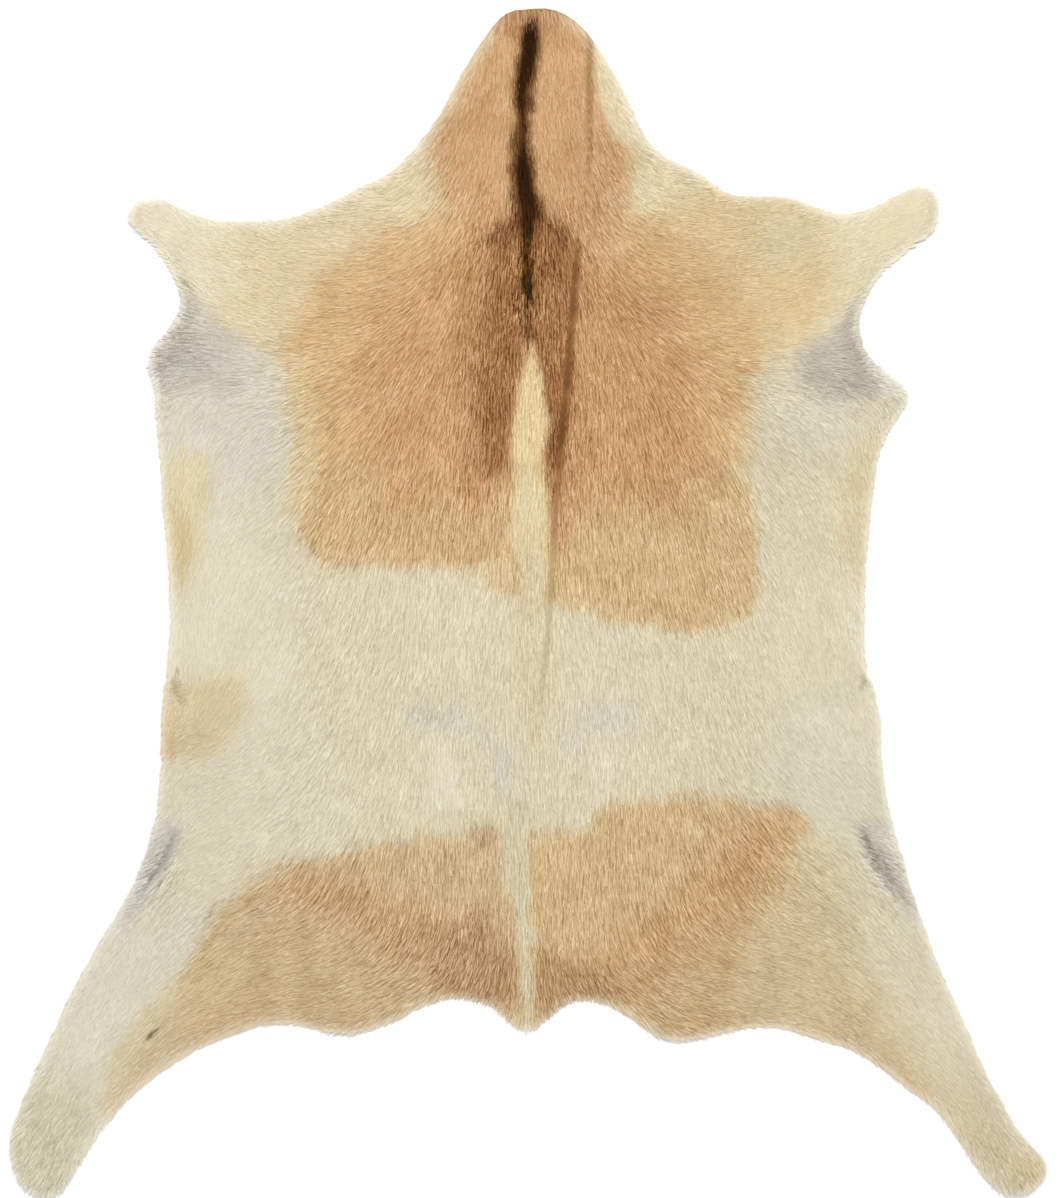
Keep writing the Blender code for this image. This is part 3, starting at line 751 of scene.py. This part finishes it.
def mesh_from(name, corners, faces):
    """A mesh of triangles from arrays, in metres from millimetres."""
    mesh = bpy.data.meshes.new(name)
    mesh.vertices.add(len(corners))
    mesh.vertices.foreach_set("co", (corners * MM).astype(np.float32).ravel())
    mesh.loops.add(len(faces) * 3)
    mesh.loops.foreach_set("vertex_index", faces.astype(np.int32).ravel())
    mesh.polygons.add(len(faces))
    mesh.polygons.foreach_set("loop_start", np.arange(0, 3 * len(faces), 3, dtype=np.int32))
    mesh.update(calc_edges=True)
    return mesh


def paint(mesh, corners, faces, colours):
    """The coat's colours, and a picture map from above that is the same for each of its pieces."""
    margin = 12
    layer = mesh.color_attributes.new("Coat", "FLOAT_COLOR", "POINT")
    layer.data.foreach_set("color", np.c_[colours, np.ones(len(colours))].astype(np.float32).ravel())
    low, high = (np.array(corner)[:2] / MM for corner in CAD_BOUNDS)
    size = (high + margin - (low - margin)).max()
    spots = (corners[:, :2] - (low - margin)) / size
    layer = mesh.uv_layers.new(name="OFBake")
    layer.data.foreach_set("uv", spots[faces.ravel()].astype(np.float32).ravel())


def placed(name, data):
    thing = bpy.data.objects.new(name, data)
    bpy.context.scene.collection.objects.link(thing)
    return thing


def add_piece(name, corners, faces, material, colours=None):
    """A piece of the scene that takes the solid's place. A piece with colours is part of the coat."""
    mesh = mesh_from(name, corners, faces)
    if colours is not None:
        paint(mesh, corners, faces, colours)
    piece = placed(name, mesh)
    mesh.materials.append(material)
    mesh.shade_smooth()
    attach(piece, "root")
    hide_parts("hide")
    return piece


def skin_edge(edge):
    """The leather's own edge: further in where the hair points outward and hangs over it."""
    outward = outward_of(edge)
    over = np.clip((combed(edge) * outward).sum(axis=1), 0, 1)
    for _ in range(6):
        over = (np.roll(over, 1) + 2 * over + np.roll(over, -1)) / 4
    inset = SKIN_INSET + OVERHANG * over
    moved = edge - outward * inset[:, None]
    return moved[nearest_on(moved, edge, True)[0] > 0.93 * inset]


def sheet_points(loop, step):
    """Points for a sheet: its edge, a line inside it, and an even field."""
    line_inset, least_inset = 2.2, 1.8
    steps = np.array((step, step * math.sqrt(0.75)))
    columns, rows = (np.abs(loop).max(axis=0) / steps).astype(int) + 2
    i, j = np.meshgrid(np.arange(-columns, columns), np.arange(-rows, rows))
    field = np.stack([(i + (j % 2) / 2) * steps[0], j * steps[1]], axis=2).reshape(-1, 2)
    line = loop - outward_of(loop) * line_inset
    line = line[depth_inside(line, loop) > least_inset]
    field = field[depth_inside(field, loop) > line_inset + 0.5 * step]
    return np.concatenate([loop, line, field])


def flat_sheet(loop, step):
    """Points and triangles that fill a loop, with every triangle facing up."""
    ring = [(i, (i + 1) % len(loop)) for i in range(len(loop))]
    points = [Vector(p) for p in sheet_points(loop, step)]
    spots, _, faces, _, _, _ = geometry.delaunay_2d_cdt(points, ring, [], 1, 1e-4)
    spots = np.array([tuple(s) for s in spots])
    faces = np.array([tuple(f) for f in faces])
    a, b, c = (spots[faces[:, k]] for k in range(3))
    downward = (b - a)[:, 0] * (c - a)[:, 1] - (b - a)[:, 1] * (c - a)[:, 0] < 0
    faces[downward] = faces[downward][:, ::-1]
    return spots, faces


def closed_sheet(spots, faces, lower, upper):
    """Corners and faces of a closed sheet between two heights over the same points."""
    count = len(spots)
    corners = np.concatenate([np.c_[spots, upper], np.c_[spots, lower]])
    ends = np.concatenate([faces[:, [0, 1]], faces[:, [1, 2]], faces[:, [2, 0]]])
    keys = {(int(a), int(b)) for a, b in ends}
    a, b = np.array([(a, b) for a, b in keys if (b, a) not in keys]).T
    walls = np.concatenate([np.c_[b, a, a + count], np.c_[b, a + count, b + count]])
    return corners, np.concatenate([faces, faces[:, ::-1] + count, walls])


def make_skin(loop, maps):
    spots, faces = flat_sheet(loop, SKIN_STEP)
    lower = maps.base(spots)
    corners, faces = closed_sheet(spots, faces, lower, lower + SKIN)
    return add_piece("skin", corners, faces, skin_material())


def make_undercoat(loop, maps):
    """The dense short hair under the locks, which closes the gaps between them. Its colour is darkened as
    painted shade under the locks, and more in the creases.
    """
    clearance, least, rise_width = 0.02, 0.15, 7.0
    spots, faces = flat_sheet(loop, UNDERCOAT_STEP)
    lower = maps.base(spots) + SKIN + clearance
    drop, tone = creases_at(spots)
    coat = coat_depth(spots, maps) - 0.8 * drop
    rise = np.sqrt(np.clip(maps.skin(spots) / rise_width, 0, 1))
    upper = lower + least + 0.5 * coat * rise
    corners, faces = closed_sheet(spots, faces, lower, upper)
    # Painted shade: a little darker under the locks, and darker still in the creases
    colours = deeper(linear(colour_at(spots)), 0.9 * tone)
    both_sides = np.concatenate([colours, colours])
    return add_piece("undercoat", corners, faces, coat_material("Undercoat", 0.85), both_sides)


def lock_roots(rng, loop, skin_map):
    """Roots on a jittered grid over the leather, shuffled, so that each piece is spread over it all."""
    jitter, inset = 0.62, 0.25
    wanted = LOCKS_A_PIECE * FUR_PIECES
    step = math.sqrt(skin_area(skin_map) / wanted)
    low, high = loop.min(axis=0) - 1, loop.max(axis=0) + 1
    grid = grid_points(np.arange(low[0], high[0], step), np.arange(low[1], high[1], step))
    grid = grid + rng.uniform(-jitter, jitter, grid.shape) * step
    roots = grid[skin_map(grid) > inset]
    return roots[rng.permutation(len(roots))][:wanted]


def nearest_tuft(points):
    """Centre and number of the tuft that each lock belongs to: the nearest of a jittered grid."""
    jitter = np.random.default_rng(SEED + 1).uniform(0.18, 0.82, (TUFT_GRID, TUFT_GRID, 2))
    cell = np.floor(points / TUFT).astype(int)
    best = np.full(len(points), np.inf)
    centre = np.zeros_like(points)
    number = np.zeros(len(points), int)
    for dy in (-1, 0, 1):
        for dx in (-1, 0, 1):
            near = cell + (dx, dy)
            i, j = (near % TUFT_GRID).T
            spot = (near + jitter[j, i]) * TUFT
            away = np.hypot(*(points - spot).T)
            closer = away < best
            best[closer] = away[closer]
            centre[closer] = spot[closer]
            number[closer] = (j * TUFT_GRID + i)[closer]
    return centre, number


def tufts_of(points):
    """The tuft of each lock, with how it swings, its tone, the side that is lit, and a shift."""
    centre, number = nearest_tuft(points)
    traits = np.random.default_rng(SEED + 2).normal(size=(TUFT_GRID**2, 4))
    traits[:, 1] -= 0.08 * (traits[:, 1] ** 2 - 1)
    swing, tone, lit, shift = traits[number].T
    return SimpleNamespace(centre=centre, number=number, swing=swing, tone=tone, lit=lit, shift=shift)


def lay_locks(rng, root, tufts, edge_map):
    """Each lock's course, from its root along the lie of the hair to its tip."""
    count = len(root)
    length = HAIR_LENGTH * (1 + LENGTH_SPREAD * rng.normal(size=count)).clip(0.5, 1.5)
    for factor, reach, x, y in LENGTHS.values():
        length *= 1 + (factor - 1) * soft_step(1.3 - away_from(root, x, y) / reach)
    by_area = AREA_SWING * Waves(26.0, 5)(root)
    swing = np.radians(TUFT_SWING * tufts.swing + LOCK_SWING * rng.normal(size=count) + by_area)
    lie = turned(lie_at(root, edge_map), swing)
    in_crease = 1 - creases_at(root + lie * (0.5 * length)[:, None])[1]
    length *= 1 - 0.6 * in_crease
    middle = root + lie * (0.5 * length)[:, None]
    tip = middle + turned(lie_at(middle, edge_map), swing) * (0.5 * length)[:, None]

    # The tips draw in towards their tuft's own line
    across = np.stack([-lie[:, 1], lie[:, 0]], axis=1)
    off = ((tufts.centre - root) * across).sum(axis=1)
    tip += across * (0.5 * off)[:, None]

    # No tip reaches far past the solid's edge
    reach_past = rng.uniform(-0.8, 1.6, count)
    for _ in range(6):
        past = -edge_map(tip) > reach_past
        tip[past] = root[past] + (tip[past] - root[past]) * 0.8
    return SimpleNamespace(root=root, middle=middle, tip=tip, lie=lie, across=across, length=length, off=off)


def lock_heights(rng, locks, tufts, loose, maps):
    """Heights of the roots and the tips. Tips past the leather's edge droop."""
    droop, lowest = 0.14, 0.5
    by_tuft = TUFT_LEVEL * rng.uniform(-0.5, 0.5, TUFT_GRID**2)[tufts.number]
    level = LEVEL + loose * (by_tuft + LOCK_LEVEL * rng.normal(size=len(loose)))
    heights = []
    for spots, share in ((locks.root, ROOT_HEIGHT + 0.3 * level), (locks.tip, TIP_HEIGHT + level)):
        coat = coat_depth(spots, maps) - creases_at(spots)[0]
        heights.append(maps.base(spots) + SKIN + coat * share)
    root_height, tip_height = heights
    outside = np.clip(-maps.skin(locks.tip), 0, 12)
    return root_height, np.maximum(tip_height - droop * outside, lowest)


def lock_corners(rng, locks, loose, heights):
    """Four corners to a lock: its full width at the root, and a share of it at the tip."""
    count = len(loose)
    width = HAIR_WIDTH * (1 + WIDTH_SPREAD * rng.normal(size=count)).clip(0.5, 1.6)
    roll = np.radians(LOCK_ROLL * loose * rng.normal(size=count)).clip(-0.4, 0.4)
    side = np.c_[locks.across * np.cos(roll)[:, None], np.sin(roll)]
    half = side * (width / 2)[:, None]
    root, tip = (np.c_[spots, height] for spots, height in zip((locks.root, locks.tip), heights))
    return np.stack([root + half, root - half, tip + TIP_WIDTH * half, tip - TIP_WIDTH * half], axis=1)


def streaks_at(points, lie):
    """Seeded light and dark streaks along the lie of the hair, between -1 and 1."""
    fine = Waves(1.5, 8)
    total = sum(fine(points + lie * reach) for reach in (-12.0, -8.0, -4.0, 0.0, 4.0, 8.0, 12.0))
    return total / 3.5


def unevenness(rng, locks, tufts, loose, brightness):
    """How much lighter or darker each lock is than the coat's own colour there: painted light and shade
    across its tuft, and tone that differs at random.
    """
    shade = np.clip(PALE - brightness, 0, 0.5)
    uneven = (LEAST_UNEVEN + MORE_UNEVEN * shade * (1 - shade)) * loose
    for extra, reach, x, y in GRIZZLED.values():
        uneven += extra * soft_step(1.2 - away_from(locks.root, x, y) / reach)
    # Painted light and shade: across each tuft one side is lit and the other shaded, the shaded side a
    # little deeper
    lit = np.clip(locks.off / (0.5 * TUFT), -1, 1) * np.sign(tufts.lit + 1.0)
    lit -= 0.35 * (lit**2 - 0.33)
    uneven *= PAINTED_TUFT_SHADING * lit + TUFT_TONE * tufts.tone + LOCK_TONE * rng.normal(size=len(loose))
    by_area = (0.006 + 0.1 * shade) * Waves(16.0, 7)(locks.root)
    return uneven + (by_area + (0.008 + 0.1 * shade) * streaks_at(locks.root, locks.lie))


def lock_colours(rng, locks, tufts, loose, edge_map):
    """Each lock's colour at its root and its tip: the coat's own, made uneven with painted light and shade
    across its tuft, darkened with painted shade at the root and in the creases, and paler at the rim.
    """
    count = len(loose)
    shift = 2.2 * tufts.shift + rng.uniform(-4.0, 4.0, count)
    aside = locks.root + locks.across * rng.normal(0, 0.6, (count, 1))
    places = (aside + locks.lie * (share * locks.length + shift)[:, None] for share in (0.25, 0.75))
    low, high = (colour_at(place) for place in places)
    uneven = unevenness(rng, locks, tufts, loose, (low + high).mean(axis=1) / 2)
    warmth = WARMTH * tufts.swing + WARMTH * rng.normal(size=count)
    # Painted shade in the creases' troughs
    dark = creases_at((locks.root + locks.tip) / 2)[1]
    rim, strength, reach = RIM
    rim_share = strength * soft_step(1 - edge_map(locks.middle) / reach)[:, None]
    ends = []
    # Painted shade: the root end is darker, under the locks that lie over it, and both ends take the
    # creases' painted shade
    for colour, tone in ((low, 0.85 * dark), (high, dark)):
        colour = colour * (1 + warmth[:, None] * WARM)
        colour += uneven[:, None] * STROKE_TINT * np.clip(3 * colour, 0, 1)
        colour += (np.array(rim) / 255.0 - colour) * rim_share
        ends.append(deeper(linear(np.clip(colour, 0.02, 0.97)), tone))
    return np.stack([ends[0], ends[0], ends[1], ends[1]], axis=1)


def make_fur(loop, maps):
    """Locks of a few hairs each, two triangles to a lock, lying over one another like thatch."""
    rng = np.random.default_rng(SEED)
    root = lock_roots(rng, loop, maps.skin)
    tufts = tufts_of(root)
    locks = lay_locks(rng, root, tufts, maps.edge)
    loose = 1 - calm_at(root)
    heights = lock_heights(rng, locks, tufts, loose, maps)
    corners = lock_corners(rng, locks, loose, heights)
    colours = lock_colours(rng, locks, tufts, loose, maps.edge)
    material = coat_material("Hair", 0.5)
    pieces = []
    for index in range(FUR_PIECES):
        mine, shades = (values[index::FUR_PIECES].reshape(-1, 3) for values in (corners, colours))
        starts = 4 * np.arange(len(mine) // 4)[:, None]
        faces = np.concatenate([starts + (0, 1, 2), starts + (2, 1, 3)])
        pieces.append(add_piece(f"hair_{index + 1}", mine, faces, material, shades))
    return pieces


def new_material(name):
    material = bpy.data.materials.new(name)
    material.use_nodes = True
    nodes = material.node_tree.nodes
    return material, nodes, nodes["Principled BSDF"]


def set_inputs(node, **values):
    """Sets a node's inputs by their names, with a low line for each space."""
    for name, value in values.items():
        node.inputs[name.replace("_", " ")].default_value = value


def add_node(nodes, kind, **values):
    node = nodes.new("ShaderNode" + kind)
    set_inputs(node, **values)
    return node


def join(source, output, node, name):
    node.id_data.links.new(source.outputs[output], node.inputs[name])


def coat_material(name, roughness):
    """Hair in the colours painted on the mesh, which hold painted light and shade as well as the coat's own,
    finely mottled.
    """
    material, nodes, shader = new_material(name)
    set_inputs(shader, Roughness=roughness, Specular_IOR_Level=0.02, Specular_Tint=(1.0, 0.8, 0.6, 1))
    coat = add_node(nodes, "Attribute")
    coat.attribute_name = "Coat"
    where = add_node(nodes, "TexCoord")
    mottle = add_node(nodes, "TexNoise", Scale=420.0, Detail=3.0)
    vary = add_node(nodes, "MapRange", To_Min=0.95, To_Max=1.05)
    tint = add_node(nodes, "VectorMath")
    tint.operation = "SCALE"
    join(where, "Object", mottle, "Vector")
    join(mottle, "Fac", vary, "Value")
    join(coat, "Color", tint, 0)
    join(vary, "Result", tint, "Scale")
    join(tint, "Vector", shader, "Base Color")
    return material


def skin_material():
    """Tanned leather: a suede nap on the flesh side, mottled, with fine creases."""
    material, nodes, shader = new_material("Tanned skin")
    set_inputs(shader, Specular_IOR_Level=0.3, Sheen_Weight=0.25, Sheen_Roughness=0.6)
    where = add_node(nodes, "TexCoord")
    mottle = add_node(nodes, "TexNoise", Scale=14.0, Detail=8.0, Roughness=0.6)
    tone = add_node(nodes, "ValToRGB")
    stops = ((0.3, (0.50, 0.41, 0.30, 1)), (0.72, (0.68, 0.60, 0.48, 1)))
    for element, (position, colour) in zip(tone.color_ramp.elements, stops):
        element.position = position
        element.color = colour
    nap = add_node(nodes, "TexNoise", Scale=900.0, Detail=4.0)
    rough = add_node(nodes, "MapRange", To_Min=0.72, To_Max=0.95)
    bump = add_node(nodes, "Bump", Strength=0.5, Distance=0.0004)
    join(where, "Object", mottle, "Vector")
    join(where, "Object", nap, "Vector")
    join(mottle, "Fac", tone, "Fac")
    join(tone, "Color", shader, "Base Color")
    join(nap, "Fac", rough, "Value")
    join(rough, "Result", shader, "Roughness")
    join(nap, "Fac", bump, "Height")
    join(bump, "Normal", shader, "Normal")
    return material


def make_stage():
    """A wide pale floor, a hair's breadth under the hide."""
    mesh = bpy.data.meshes.new("floor")
    build = bmesh.new()
    bmesh.ops.create_grid(build, x_segments=1, y_segments=1, size=9.0)
    build.to_mesh(mesh)
    build.free()
    floor = placed("floor", mesh)
    floor.location.z = -0.0003
    material, _, shader = new_material("Floor")
    set_inputs(shader, Base_Color=(0.88, 0.88, 0.88, 1), Roughness=0.9, Specular_IOR_Level=0.1)
    mesh.materials.append(material)


def area_light(name, place, size, power):
    """A round light that aims at the middle of the hide."""
    light = bpy.data.lights.new(name, "AREA")
    light.shape = "DISK"
    light.size = size
    light.energy = power
    lamp = placed(name, light)
    lamp.location = place
    lamp.rotation_euler = (Vector() - Vector(place)).to_track_quat("-Z", "Y").to_euler()


def make_light():
    world = bpy.data.worlds.new("Studio")
    bpy.context.scene.world = world
    world.use_nodes = True
    set_inputs(world.node_tree.nodes["Background"], Color=(1.0, 1.0, 1.0, 1), Strength=0.56)
    area_light("key", (0.2, 1.6, 3.1), 1.0, 89)
    area_light("fill", (0.0, -1.6, 3.1), 2.4, 24)
    bpy.context.scene.view_settings.view_transform = "Standard"


def make_camera():
    """Straight above, where the photograph was taken from: its frame is 1058 x 1198 pixels."""
    lens, sensor = 85.0, 36.0
    pixel = 0.7563 * MM
    frame_height = 1198 * pixel
    camera_data = bpy.data.cameras.new("camera")
    camera_data.lens = lens
    camera_data.sensor_width = sensor
    camera_data.clip_end = 50.0
    camera = placed("camera", camera_data)
    camera.location = (0.0005, 0.0026, frame_height * lens / sensor)
    bpy.context.scene.camera = camera


def main():
    make_camera()
    make_light()
    make_stage()
    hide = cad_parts["hide"]
    edge = edge_of(hide)
    maps = maps_of(hide, edge)
    loop = skin_edge(edge)
    maps.skin = depth_map(maps.edge.low, maps.edge.values.shape, loop)
    skin = make_skin(loop, maps)
    undercoat = make_undercoat(loop, maps)
    fur = make_fur(loop, maps)


main()
